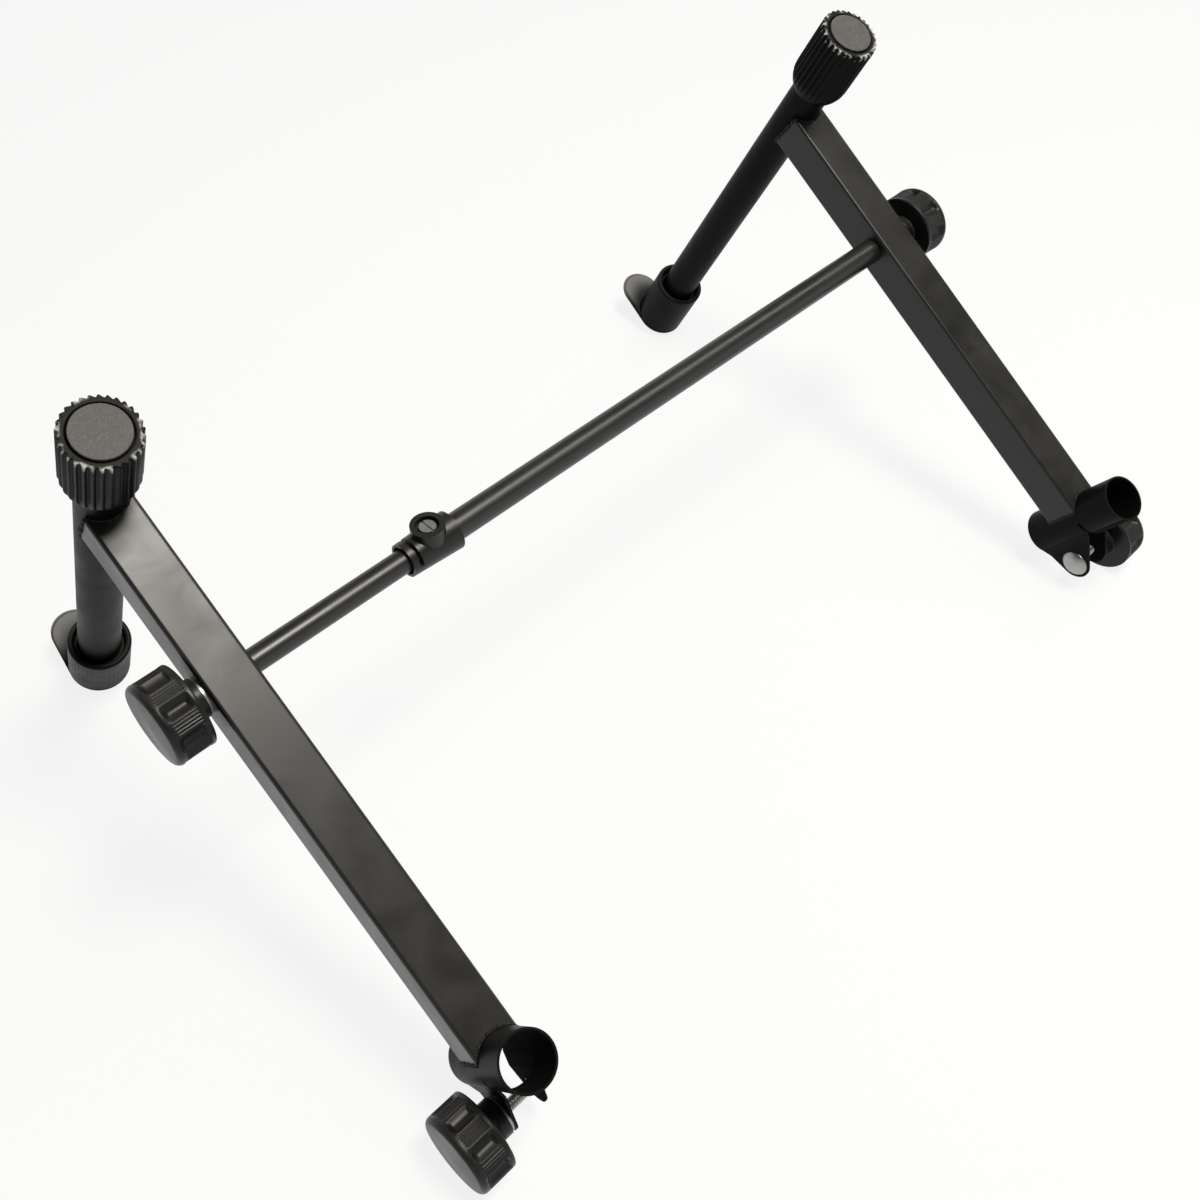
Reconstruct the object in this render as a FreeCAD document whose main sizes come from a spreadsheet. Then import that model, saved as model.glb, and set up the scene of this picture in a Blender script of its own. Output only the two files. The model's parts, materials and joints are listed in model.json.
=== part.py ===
"""Second-tier keyboard stand: two clamp-on arms joined by a telescoping cross rod.

Each arm is a round support tube with a square riser bar welded across it. The bar ends in a split
sleeve that clamps on the stand below. Here the pair stands on the floor like a sawhorse: the lip caps
and the clamp knobs are its feet. X runs along the cross rod, Y from the clamp feet to the lip feet.
"""
import FreeCAD
import Part
import Sketcher
import math
import os
import re

# Driving dimensions in millimetres, degrees and counts.
SIZES = {
    # The whole stand
    "arm_spacing": 622,
    "bar_angle": 83,
    "weld_gap": 0.1,
    "push_clearance": 0.05,
    "running_clearance": 0.1,
    "face_gap": 0.2,
    # Support tube, measured from where its axis meets the bar axis
    "tube_diameter": 30,
    "tube_wall": 1.5,
    "cap_reach": 96.5,
    "lip_reach": 307,
    # Ribbed cap on the upper end
    "cap_wall": 7.5,
    "cap_length": 62,
    "cap_tail_length": 14,
    "cap_tail_wall": 2.25,
    "cap_tail_radius": 1.5,
    "rib_count": 30,
    "rib_depth": 1.5,
    "rib_width": 4,
    # Plug in the upper end of the tube
    "plug_overhang": 1.5,
    "plug_head_height": 4,
    "plug_proud": 1.2,
    "plug_gap": 1,
    "plug_stub_length": 18,
    # Lip cap on the lower end
    "lip_cap_wall": 7.25,
    "lip_cap_length": 59,
    "lip_end_wall": 6,
    "lip_end_radius": 4.5,
    "lip_recess_gap": 2.9,
    "lip_recess_depth": 8,
    "tongue_length": 26.25,
    "tongue_taper": 4.25,
    "tongue_thickness": 7,
    # Square riser bar
    "bar_width": 32,
    "bar_wall": 1.5,
    "bar_corner_radius": 2.5,
    "bar_end_setback": 6,
    "rod_reach": 123.5,
    "clamp_reach": 394,
    # Clamp sleeve, measured from where its axis meets the bar axis: a closed ring, then a strap with two ears
    "clamp_bore": 33,
    "clamp_wall": 1.5,
    "clamp_length": 90,
    "clamp_lead": 50,
    "clamp_ring_length": 35,
    "clamp_cut_width": 2.5,
    "ear_gap": 22,
    "ear_bend_reach": 18,
    "ear_root_reach": 10,
    "ear_neck_lead": 34,
    "ear_tip_radius": 13,
    "bolt_offset": 21,
    "bolt_reach": 31,
    # Clamp bolt, rod studs and washers
    "thread_diameter": 8,
    "thread_engagement": 20,
    "bolt_head_diameter": 22,
    "bolt_head_height": 5,
    "washer_diameter": 24,
    "washer_thickness": 1.6,
    "washer_play": 0.1,
    # Hand knobs and their threaded inserts
    "knob_diameter": 54,
    "knob_grip_length": 25.5,
    "knob_hub_diameter": 26,
    "arm_hub_length": 6.5,
    "clamp_hub_length": 10.6,
    "knob_face_radius": 4.5,
    "knob_back_radius": 1.5,
    "knob_hole_depth": 24,
    "knob_hole_clearance": 0.6,
    "scallop_count": 8,
    "scallop_radius": 6.5,
    "scallop_depth": 3.2,
    "scallop_back_margin": 3,
    "scallop_face_margin": 6,
    "insert_diameter": 14,
    "insert_length": 14,
    # Telescoping cross rod
    "outer_rod_diameter": 19,
    "outer_rod_wall": 1.2,
    "outer_rod_length": 448,
    "inner_rod_diameter": 16,
    "inner_rod_wall": 1.5,
    "inner_rod_length": 450,
    "slug_length": 25,
    # Locking collar on the end of the outer rod
    "collar_mouth_end_diameter": 23.5,
    "collar_rod_end_diameter": 27.5,
    "collar_length": 38.5,
    "collar_socket_depth": 12.5,
    "collar_mouth_diameter": 20,
    "collar_mouth_depth": 6,
    "collar_slot_width": 3,
    "collar_slot_setback": 4,
    "boss_diameter": 22.5,
    "boss_height": 17.5,
    "boss_setback": 21,
    "boss_recess_diameter": 15.3,
    "boss_recess_depth": 4,
    "lock_screw_diameter": 6,
    "lock_head_diameter": 11,
    "lock_head_height": 2.6,
    "lock_slot_width": 1.2,
    "lock_slot_depth": 1,
}

# Dimensions that follow from the others
FITTED = {
    "cap_diameter": "tube_diameter + 2*cap_wall",
    "cap_tail_diameter": "tube_diameter + 2*cap_tail_wall",
    "plug_head_diameter": "tube_diameter + 2*plug_overhang",
    "lip_cap_diameter": "tube_diameter + 2*lip_cap_wall",
    "tongue_reach": "lip_cap_diameter/2 + tongue_length",
    "tongue_tip_radius": "lip_cap_diameter/2 - tongue_taper",
}

LEFT = -1
RIGHT = 1
SIDE_NAMES = {LEFT: "left", RIGHT: "right"}
ACROSS = FreeCAD.Vector(1, 0, 0)
DEPTH = FreeCAD.Vector(0, 1, 0)
UP = FreeCAD.Vector(0, 0, 1)
FULL_TURN = 360
QUARTER_TURN = 90
SAME = 1e-4
PLACES = ("Placement.Base.x", "Placement.Base.y", "Placement.Base.z")

doc = FreeCAD.newDocument("keyboard_stand_tier")
sheet = doc.addObject("Spreadsheet::Sheet", "Sizes")
cells = {name: str(number) for name, number in SIZES.items()}
cells.update({name: f"={rule}" for name, rule in FITTED.items()})
for row, (name, cell) in enumerate(cells.items(), start=1):
    sheet.set(f"A{row}", name)
    sheet.set(f"B{row}", cell)
    sheet.setAlias(f"B{row}", name)
doc.recompute()

size = {name: float(sheet.get(name)) for name in cells}
pieces = []


# Binding sizes to the sheet

def formula(text):
    """The text with every size name pointed at its cell of the sheet."""
    return re.sub(r"\b[a-z_]+\b", lambda word: "Sizes." + word[0] if word[0] in cells else word[0], text)


def worth(text):
    """The present value of a formula, for a sketch's first guess."""
    return float(sheet.evalExpression(formula(text)))


def bind(feature, sizes):
    """Tie the feature's properties to formulas of the sheet and hand the feature back."""
    for prop, text in sizes.items():
        feature.setExpression(prop, formula(text))
    return feature


# Solids from primitives and booleans

def cylinder(name, diameter, height, base="0"):
    """Cylinder up the local Z axis, starting at height base."""
    shape = doc.addObject("Part::Cylinder", name)
    return bind(shape, {"Radius": f"({diameter})/2", "Height": height, "Placement.Base.z": base})


def crosswise(name, diameter, length, start):
    """Cylinder along the local X axis, from the point given by the three formulas of start."""
    shape = cylinder(name, diameter, length)
    shape.Placement.Rotation = FreeCAD.Rotation(DEPTH, QUARTER_TURN)
    return bind(shape, dict(zip(PLACES, start)))


def block(name, length, width, height, corner):
    """Box with its low corner at the three formulas of corner."""
    shape = doc.addObject("Part::Box", name)
    bind(shape, {"Length": length, "Width": width, "Height": height})
    return bind(shape, dict(zip(PLACES, corner)))


def fuse(name, shapes):
    """The shapes joined into one."""
    joined = doc.addObject("Part::MultiFuse", name)
    joined.Shapes = shapes
    return joined


def cut(name, base, tools):
    """The base with every tool taken out of it."""
    result = doc.addObject("Part::Cut", name)
    result.Base = base
    result.Tool = tools[0] if len(tools) == 1 else fuse(name + "_cutters", tools)
    return result


def overlap(name, shapes):
    """What the shapes have in common."""
    common = doc.addObject("Part::MultiCommon", name)
    common.Shapes = shapes
    return common


def keep(shape, base, turn):
    """Make a shape one of the stand's pieces, at its place in the stand's frame."""
    pieces.append((shape, FreeCAD.Placement(base, turn)))


# Solids from sketches

def sketch_on(body, name, role, height="0"):
    """Empty sketch on one of the body's own origin planes, raised by height along its normal."""
    plane = next(item for item in body.Origin.OriginFeatures if item.Role == role)
    sketch = body.newObject("Sketcher::SketchObject", name)
    sketch.AttachmentSupport = [(plane, "")]
    sketch.MapMode = "FlatFace"
    return bind(sketch, {"AttachmentOffset.Base.z": height})


def hold(sketch, kind, places, text):
    """Dimension a sketch by a formula."""
    index = sketch.addConstraint(Sketcher.Constraint(kind, *places, worth(text)))
    sketch.setExpression(f"Constraints[{index}]", formula(text))


def outline(sketch, corners):
    """Closed outline of straight lines, each corner an (across, up) pair of formulas."""
    spots = [FreeCAD.Vector(worth(across), worth(up), 0) for across, up in corners]
    count = len(spots)
    for line in range(count):
        sketch.addGeometry(Part.LineSegment(spots[line], spots[(line + 1) % count]))
    for line, (across, up) in enumerate(corners):
        sketch.addConstraint(Sketcher.Constraint("Coincident", line, 2, (line + 1) % count, 1))
        hold(sketch, "DistanceX", (-1, 1, line, 1), across)
        hold(sketch, "DistanceY", (-1, 1, line, 1), up)


def tipped(sketch, corners, centre, radius):
    """Outline through the corners in turn, closed by a round tip that its two free lines run tangent to.

    The corners go anticlockwise from one side of the tip to the other.
    """
    spots = [FreeCAD.Vector(worth(across), worth(up), 0) for across, up in corners]
    middle = FreeCAD.Vector(worth(centre[0]), worth(centre[1]), 0)
    reach = worth(radius)
    last = len(spots) - 1
    angles = []
    for corner, turn in ((spots[last], 1), (spots[0], -1)):
        line = corner - middle
        angles.append(math.atan2(line.y, line.x) + turn * math.acos(reach / line.Length))
    tip = Part.ArcOfCircle(Part.Circle(middle, UP, reach), angles[0], angles[1])
    for line in range(last):
        sketch.addGeometry(Part.LineSegment(spots[line], spots[line + 1]))
    sketch.addGeometry(Part.LineSegment(spots[last], tip.StartPoint))
    sketch.addGeometry(tip)
    sketch.addGeometry(Part.LineSegment(tip.EndPoint, spots[0]))
    arc = last + 1
    for line in range(last):
        sketch.addConstraint(Sketcher.Constraint("Coincident", line, 2, line + 1, 1))
    sketch.addConstraint(Sketcher.Constraint("Tangent", last, 2, arc, 1))
    sketch.addConstraint(Sketcher.Constraint("Tangent", arc, 2, arc + 1, 1))
    sketch.addConstraint(Sketcher.Constraint("Coincident", arc + 1, 2, 0, 1))
    for line, (across, up) in enumerate(corners):
        hold(sketch, "DistanceX", (-1, 1, line, 1), across)
        hold(sketch, "DistanceY", (-1, 1, line, 1), up)
    hold(sketch, "Radius", (arc,), radius)
    hold(sketch, "DistanceX", (-1, 1, arc, 3), centre[0])
    hold(sketch, "DistanceY", (-1, 1, arc, 3), centre[1])


def circle(sketch, diameter, centre_across="0"):
    """Circle on the sketch's horizontal axis."""
    centre = FreeCAD.Vector(worth(centre_across), 0, 0)
    drawn = sketch.addGeometry(Part.Circle(centre, UP, worth(f"({diameter})/2")))
    hold(sketch, "Radius", (drawn,), f"({diameter})/2")
    hold(sketch, "DistanceX", (-1, 1, drawn, 3), centre_across)
    hold(sketch, "DistanceY", (-1, 1, drawn, 3), "0")


def feature(body, kind, sketch, sizes):
    """Sketch-based feature of the body, with its sizes bound to the sheet."""
    made = body.newObject("PartDesign::" + kind, sketch.Name + "_" + kind.lower())
    made.Profile = sketch
    sketch.Visibility = False
    return bind(made, sizes)


def pocket(body, sketch, depth):
    """Pocket that runs from the sketch up the local Z axis."""
    made = feature(body, "Pocket", sketch, {"Length": depth})
    made.Reversed = True
    return made


def revolve(body, name, corners):
    """Turned solid: corners are (radius, height) pairs of formulas, turned about the local Z axis."""
    profile = sketch_on(body, name, "XZ_Plane")
    outline(profile, corners)
    solid = feature(body, "Revolution", profile, {})
    solid.ReferenceAxis = (profile, ["V_Axis"])
    solid.Angle = FULL_TURN
    return solid


def polar(body, original, sketch, count):
    """Repeat a feature evenly round the local Z axis."""
    pattern = body.newObject("PartDesign::PolarPattern", original.Name + "_round")
    pattern.Originals = [original]
    pattern.Axis = (sketch, ["N_Axis"])
    pattern.Angle = FULL_TURN
    bind(pattern, {"Occurrences": count})
    body.Tip = pattern
    doc.recompute()
    return pattern


def circle_edges(shape, diameter, height):
    """Names of the round edges with this diameter at this height."""
    radius = worth(f"({diameter})/2")
    level = worth(height)
    names = []
    for index, edge in enumerate(shape.Edges, start=1):
        if not isinstance(edge.Curve, Part.Circle) or abs(edge.BoundBox.Center.z - level) > SAME:
            continue
        if abs(edge.Curve.Radius - radius) < SAME:
            names.append(f"Edge{index}")
    return names


def soften(body, base, edges, radius):
    """Round over the named edges of the body's last feature."""
    made = body.newObject("PartDesign::Fillet", base.Name + "_fillet")
    made.Base = (base, edges)
    return bind(made, {"Radius": radius})


def prism(name, plane, foot, length, draw, *shape):
    """Block padded from an outline, which draw lays on one of the body's own planes at a foot height."""
    body = doc.addObject("PartDesign::Body", name)
    profile = sketch_on(body, name + "_profile", plane, foot)
    draw(profile, *shape)
    feature(body, "Pad", profile, {"Length": length})
    return body


def ring(label, outer, inner, length):
    """Plain tube or washer, padded from two circles."""
    body = doc.addObject("PartDesign::Body", label)
    section = sketch_on(body, label + "_section", "XY_Plane")
    circle(section, outer)
    circle(section, inner)
    feature(body, "Pad", section, {"Length": length})
    return body


# The pieces, each along its own local Z axis

def ribbed_cap(label):
    """Rubber sleeve over the tube's upper end: saw-tooth ribs, a tapered tail and a seat for the plug."""
    bore = "tube_diameter/2 + push_clearance"
    seat = "plug_head_diameter/2 + plug_gap"
    seat_depth = "plug_head_height - plug_proud"
    body = doc.addObject("PartDesign::Body", label)
    sleeve = revolve(body, label + "_profile", [
        (seat, "0"),
        ("cap_diameter/2", "0"),
        ("cap_diameter/2", "cap_length - cap_tail_length"),
        ("cap_tail_diameter/2", "cap_length"),
        (bore, "cap_length"),
        (bore, seat_depth),
        (seat, seat_depth),
    ])
    doc.recompute()
    tail = circle_edges(sleeve.Shape, "cap_tail_diameter", "cap_length")
    soften(body, sleeve, tail, "cap_tail_radius")
    tooth = sketch_on(body, label + "_tooth", "XY_Plane")
    outline(tooth, [
        ("cap_diameter/2 - rib_depth", "0"),
        ("cap_diameter/2 + rib_depth", "0"),
        ("cap_diameter/2 + rib_depth", "2*rib_width"),
    ])
    groove = pocket(body, tooth, "cap_length")
    polar(body, groove, tooth, "rib_count")
    return body


def end_plug(label):
    """Plastic plug: a flat head over the tube's end and a stub pushed into its bore."""
    stub = "tube_diameter/2 - tube_wall - push_clearance"
    body = doc.addObject("PartDesign::Body", label)
    plug = revolve(body, label + "_profile", [
        ("0", "0"),
        ("plug_head_diameter/2", "0"),
        ("plug_head_diameter/2", "plug_head_height"),
        (stub, "plug_head_height"),
        (stub, "plug_head_height + plug_stub_length"),
        ("0", "plug_head_height + plug_stub_length"),
    ])
    doc.recompute()
    soften(body, plug, circle_edges(plug.Shape, "plug_head_diameter", "0"), "plug_proud/2")
    return body


def lip_cap(label):
    """Rubber cap on the tube's lower end, with a tongue that stops the keyboard sliding off."""
    body = doc.addObject("PartDesign::Body", label)
    barrel = sketch_on(body, label + "_barrel", "XY_Plane")
    circle(barrel, "lip_cap_diameter")
    feature(body, "Pad", barrel, {"Length": "lip_cap_length"})
    tongue = sketch_on(body, label + "_tongue", "XY_Plane", "lip_cap_length - tongue_thickness")
    slope = "asin((lip_cap_diameter/2 - tongue_tip_radius)/(tongue_reach - tongue_tip_radius))"
    across = f"lip_cap_diameter/2*cos({slope})"
    up = f"lip_cap_diameter/2*sin({slope})"
    sides = [(f"-{across}", up), (across, up)]
    tipped(tongue, sides, ("0", "tongue_reach - tongue_tip_radius"), "tongue_tip_radius")
    lip = feature(body, "Pad", tongue, {"Length": "tongue_thickness"})
    doc.recompute()
    end_face = max(lip.Shape.Faces, key=lambda face: face.CenterOfMass.z)
    rim = [f"Edge{index}" for index, edge in enumerate(lip.Shape.Edges, start=1)
           if any(edge.isSame(other) for other in end_face.Edges)]
    soften(body, lip, rim, "lip_end_radius")
    bore = sketch_on(body, label + "_bore", "XY_Plane")
    circle(bore, "tube_diameter + 2*push_clearance")
    pocket(body, bore, "lip_cap_length - lip_end_wall")
    recess = sketch_on(body, label + "_recess", "XY_Plane")
    circle(recess, "tube_diameter + 2*lip_recess_gap")
    pocket(body, recess, "lip_recess_depth")
    return body


def cope(name, diameter, height, angle):
    """Cutter for a tube that crosses the bar's axis at a height and at an angle to it."""
    cutter = cylinder(name, diameter, "4*bar_width", f"{height} - 2*bar_width*cos({angle})")
    cutter.Placement.Rotation = FreeCAD.Rotation(ACROSS, worth(angle))
    return bind(cutter, {"Placement.Base.y": f"2*bar_width*sin({angle})"})


def riser_bar(label):
    """Square tube up the local Z axis from the support tube, coped round both tubes it is welded to."""
    length = "clamp_reach - 2*bar_end_setback"
    body = doc.addObject("PartDesign::Body", label + "_tube")
    section = sketch_on(body, label + "_section", "XY_Plane", "bar_end_setback")
    square(section, "bar_width")
    square(section, "bar_width - 2*bar_wall")
    walls = feature(body, "Pad", section, {"Length": length})
    doc.recompute()
    corners = [f"Edge{index}" for index, edge in enumerate(walls.Shape.Edges, start=1)
               if edge.BoundBox.ZLength > worth(length) / 2
               and abs(abs(edge.BoundBox.Center.x) - worth("bar_width/2")) < SAME]
    soften(body, walls, corners, "bar_corner_radius")
    tube_cope = cope(label + "_tube_cope", "tube_diameter + 2*weld_gap", "0", "bar_angle")
    clamp_width = "clamp_bore + 2*clamp_wall + 2*weld_gap"
    clamp_cope = cope(label + "_clamp_cope", clamp_width, "clamp_reach", str(QUARTER_TURN))
    pivot = crosswise(label + "_pivot_hole", "thread_diameter + 2*running_clearance", "2*bar_width",
                      ("-bar_width", "0", "rod_reach"))
    return cut(label, body, [tube_cope, clamp_cope, pivot])


def square(sketch, width):
    """Square about the sketch's centre."""
    half = f"({width})/2"
    first = sketch.GeometryCount
    reach = worth(half)
    spots = [FreeCAD.Vector(x * reach, y * reach, 0) for x, y in ((-1, -1), (1, -1), (1, 1), (-1, 1))]
    for line in range(4):
        sketch.addGeometry(Part.LineSegment(spots[line], spots[(line + 1) % 4]))
    for line in range(4):
        sketch.addConstraint(Sketcher.Constraint("Coincident", first + line, 2, first + (line + 1) % 4, 1))
        sketch.addConstraint(Sketcher.Constraint(("Horizontal", "Vertical")[line % 2], first + line))
    hold(sketch, "DistanceX", (-1, 1, first + 1, 2), half)
    hold(sketch, "DistanceY", (-1, 1, first + 1, 2), half)
    hold(sketch, "DistanceX", (first, 1, first, 2), width)
    hold(sketch, "DistanceY", (first + 1, 1, first + 1, 2), width)


def ear_section(root, tip, reach):
    """Corners of a pair of ears across the sleeve: drawn in from the root to the bolt, then parallel."""
    return [
        (f"-({root})", "0"),
        (root, "0"),
        (tip, "ear_bend_reach"),
        (tip, reach),
        (f"-({tip})", reach),
        (f"-({tip})", "ear_bend_reach"),
    ]


def clamp_strap(label):
    """The far part of the sleeve: round above, running out below into two ears with round tips."""
    width = "clamp_bore + 2*clamp_wall"
    foot = "clamp_ring_length - clamp_lead"
    length = "clamp_length - clamp_ring_length"
    tip = "bolt_reach + ear_tip_radius"
    outside = fuse(label + "_outside", [
        cylinder(label + "_round", width, length, foot),
        prism(label + "_ears", "XY_Plane", foot, length, outline,
              ear_section(f"({width})/2", "ear_gap/2 + clamp_wall", tip)),
    ])
    inside = [
        cylinder(label + "_bore", "clamp_bore", length, foot),
        prism(label + "_gap", "XY_Plane", foot, length, outline,
              ear_section("clamp_bore/2", "ear_gap/2", f"{tip} + clamp_wall")),
    ]
    back = f"-({width})"
    far_end = "clamp_length - clamp_lead"
    side = prism(label + "_side", "YZ_Plane", back, f"2*({width})", tipped,
                 [("ear_root_reach", far_end), (back, far_end), (back, foot), ("0", foot),
                  ("ear_root_reach", "bolt_offset - ear_neck_lead")],
                 ("bolt_reach", "bolt_offset"), "ear_tip_radius")
    return overlap(label, [cut(label + "_open", outside, inside), side])


def clamp_sleeve(label, side):
    """Sleeve up the local Z axis: a closed ring, half sawn off from a strap with two ears for the bolt."""
    width = "clamp_bore + 2*clamp_wall"
    ears_width = "ear_gap + 2*clamp_wall"
    hole_width = "thread_diameter + 2*running_clearance"
    inner_face = "0" if side == LEFT else f"-({ears_width})/2"
    ring_length = "clamp_ring_length + clamp_cut_width"
    solid_ring = cylinder(label + "_solid_ring", width, ring_length, "-clamp_lead")
    bore = cylinder(label + "_bore", "clamp_bore", ring_length, "-clamp_lead")
    closed_ring = cut(label + "_ring", solid_ring, [bore])
    saw_cut = block(label + "_saw_cut", width, width, "clamp_cut_width",
                    (f"-({width})/2", "0", "clamp_ring_length - clamp_lead"))
    round_hole = crosswise(label + "_round_hole", hole_width, ears_width,
                           (f"-({ears_width})/2", "bolt_reach", "bolt_offset"))
    square_hole = block(label + "_square_hole", f"({ears_width})/2", hole_width, hole_width,
                        (inner_face, f"bolt_reach - ({hole_width})/2", f"bolt_offset - ({hole_width})/2"))
    blank = fuse(label + "_blank", [closed_ring, clamp_strap(label + "_strap")])
    return cut(label, blank, [saw_cut, round_hole, square_hole])


def clamp_bolt(label):
    """Dome-headed bolt with a square neck under the head; the head's flat is at height zero."""
    grip = "ear_gap + 2*clamp_wall + face_gap + washer_thickness + washer_play"
    ball = "((bolt_head_diameter/2)^2 + bolt_head_height^2)/(2*bolt_head_height)"
    dome = bind(doc.addObject("Part::Sphere", label + "_dome"), {
        "Radius": ball,
        "Angle2": f"-asin(1 - bolt_head_height/({ball}))",
        "Placement.Base.z": f"{ball} - bolt_head_height",
    })
    neck = block(label + "_neck", "thread_diameter", "thread_diameter", "clamp_wall",
                 ("-thread_diameter/2", "-thread_diameter/2", "0"))
    shank = cylinder(label + "_shank", "thread_diameter", f"{grip} + thread_engagement")
    return fuse(label, [dome, neck, shank])


def hand_knob(label, hub_length):
    """Moulded knob: hub at height zero, scalloped grip, rounded face and a blind hole for the thread."""
    insert = "insert_diameter/2 + push_clearance"
    hole = "thread_diameter/2 + knob_hole_clearance"
    total = f"{hub_length} + knob_grip_length"
    body = doc.addObject("PartDesign::Body", label)
    blank = revolve(body, label + "_profile", [
        (insert, "0"),
        ("knob_hub_diameter/2", "0"),
        ("knob_hub_diameter/2", hub_length),
        ("knob_diameter/2", hub_length),
        ("knob_diameter/2", total),
        ("0", total),
        ("0", "knob_hole_depth"),
        (hole, "knob_hole_depth"),
        (hole, "insert_length"),
        (insert, "insert_length"),
    ])
    doc.recompute()
    face = soften(body, blank, circle_edges(blank.Shape, "knob_diameter", total), "knob_face_radius")
    doc.recompute()
    soften(body, face, circle_edges(face.Shape, "knob_diameter", hub_length), "knob_back_radius")
    scallop = sketch_on(body, label + "_scallop", "XY_Plane", f"{hub_length} + scallop_back_margin")
    circle(scallop, "2*scallop_radius", "knob_diameter/2 + scallop_radius - scallop_depth")
    hollow = pocket(body, scallop, "knob_grip_length - scallop_back_margin - scallop_face_margin")
    polar(body, hollow, scallop, "scallop_count")
    return body


def rod_stud(label, rod_diameter, rod_wall):
    """Slug pressed into a rod's end, with the threaded stud that goes through the bar into the knob."""
    passage = "2*face_gap + bar_width + washer_thickness + washer_play + thread_engagement"
    slug = cylinder(label + "_slug", f"{rod_diameter} - 2*{rod_wall} - 2*push_clearance", "slug_length",
                    "-slug_length")
    stud = cylinder(label + "_thread", "thread_diameter", passage)
    return fuse(label, [slug, stud])


def locking_collar(label):
    """Plastic sleeve on the outer rod's end, its screw boss along local X and its mouth at height zero."""
    sleeve = bind(doc.addObject("Part::Cone", label + "_sleeve"), {
        "Radius1": "collar_mouth_end_diameter/2",
        "Radius2": "collar_rod_end_diameter/2",
        "Height": "collar_length",
    })
    boss = crosswise(label + "_boss", "boss_diameter", "boss_height", ("0", "0", "boss_setback"))
    recess = crosswise(label + "_recess", "boss_recess_diameter", "boss_recess_depth",
                       ("boss_height - boss_recess_depth", "0", "boss_setback"))
    screw_hole = crosswise(label + "_screw_hole", "lock_screw_diameter + 2*push_clearance", "boss_height",
                           ("0", "0", "boss_setback"))
    rod_bore = cylinder(label + "_rod_bore", "inner_rod_diameter + 2*running_clearance", "collar_length")
    socket = cylinder(label + "_socket", "outer_rod_diameter + 2*push_clearance", "collar_socket_depth",
                      "collar_length - collar_socket_depth")
    mouth = cylinder(label + "_mouth", "collar_mouth_diameter", "collar_mouth_depth")
    slot = block(label + "_slot", "collar_rod_end_diameter", "2*collar_rod_end_diameter", "collar_slot_width",
                 ("0", "-collar_rod_end_diameter", "collar_slot_setback"))
    hollows = [recess, screw_hole, rod_bore, socket, mouth, slot]
    return cut(label, fuse(label + "_body", [sleeve, boss]), hollows)


def lock_screw(label):
    """Slotted screw that bears on the inner rod, up the local Z axis from the rod's axis."""
    seat = "boss_height - boss_recess_depth + face_gap"
    tip = "inner_rod_diameter/2 + running_clearance"
    shank = cylinder(label + "_shank", "lock_screw_diameter", f"{seat} - ({tip})", tip)
    head = cylinder(label + "_head", "lock_head_diameter", "lock_head_height", seat)
    slot_floor = f"{seat} + lock_head_height - lock_slot_depth"
    slot = block(label + "_slot", "lock_slot_width", "lock_head_diameter", "lock_slot_depth",
                 ("-lock_slot_width/2", "-lock_head_diameter/2", slot_floor))
    return cut(label, fuse(label + "_blank", [shank, head]), [slot])


# How the arm leans: a line that touches the rim of the clamp knob and the rounded end of the lip cap

bar_turn = math.radians(size["bar_angle"])
bolt_down_bar = size["clamp_reach"] + size["bolt_reach"]
bolt_along = bolt_down_bar * math.cos(bar_turn) + size["bolt_offset"] * math.sin(bar_turn)
bolt_off = size["bolt_offset"] * math.cos(bar_turn) - bolt_down_bar * math.sin(bar_turn)
foot_along = size["lip_reach"] - size["lip_end_radius"] - bolt_along
foot_off = size["lip_cap_diameter"] / 2 - size["lip_end_radius"] + bolt_off
foot_drop = size["knob_diameter"] / 2 - size["lip_end_radius"]
lean = math.asin(foot_drop / math.hypot(foot_along, foot_off)) + math.atan2(-foot_off, foot_along)

down_tube = FreeCAD.Vector(0, math.cos(lean), -math.sin(lean))
off_tube = FreeCAD.Vector(0, math.sin(lean), math.cos(lean))
down_bar = down_tube * math.cos(bar_turn) - off_tube * math.sin(bar_turn)
across_bar = down_tube * math.sin(bar_turn) + off_tube * math.cos(bar_turn)


def turned(local_x, local_z):
    """Rotation that lays a piece's own X and Z axes along two directions of the stand."""
    return FreeCAD.Rotation(local_x, local_z.cross(local_x), local_z, "ZXY")


def spot(side, outward, along, off):
    """Point of an arm: outward from its middle plane, along its tube, and off the tube's axis."""
    across = ACROSS * side * (size["arm_spacing"] / 2 + outward)
    return across + down_tube * along + off_tube * off


def build_arm(side):
    """The pieces that are welded, pushed or bolted together into one arm."""
    name = SIDE_NAMES[side]
    tube_top = size["plug_head_height"] - size["plug_proud"] - size["cap_reach"]
    tube_length = "cap_reach + plug_proud - plug_head_height + lip_reach - lip_end_wall"
    down = turned(ACROSS, down_tube)
    tube = ring(name + "_support_tube", "tube_diameter", "tube_diameter - 2*tube_wall", tube_length)
    keep(tube, spot(side, 0, tube_top, 0), down)
    keep(ribbed_cap(name + "_ribbed_cap"), spot(side, 0, -size["cap_reach"], 0), down)
    keep(end_plug(name + "_end_plug"), spot(side, 0, -size["cap_reach"] - size["plug_proud"], 0), down)
    lip_top = size["lip_reach"] - size["lip_cap_length"]
    keep(lip_cap(name + "_lip_cap"), spot(side, 0, lip_top, 0), turned(-ACROSS, down_tube))
    keep(riser_bar(name + "_riser_bar"), spot(side, 0, 0, 0), turned(ACROSS, down_bar))
    clamp_middle = spot(side, 0, 0, 0) + down_bar * size["clamp_reach"]
    keep(clamp_sleeve(name + "_clamp_sleeve", side), clamp_middle, turned(ACROSS, across_bar))
    ear_face = size["ear_gap"] / 2 + size["clamp_wall"]
    bolt_turn = turned(across_bar * -side, ACROSS * side)
    keep(clamp_bolt(name + "_clamp_bolt"), spot(side, -ear_face, bolt_along, bolt_off), bolt_turn)
    build_knob(side, "clamp", ear_face, bolt_along, bolt_off)


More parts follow.
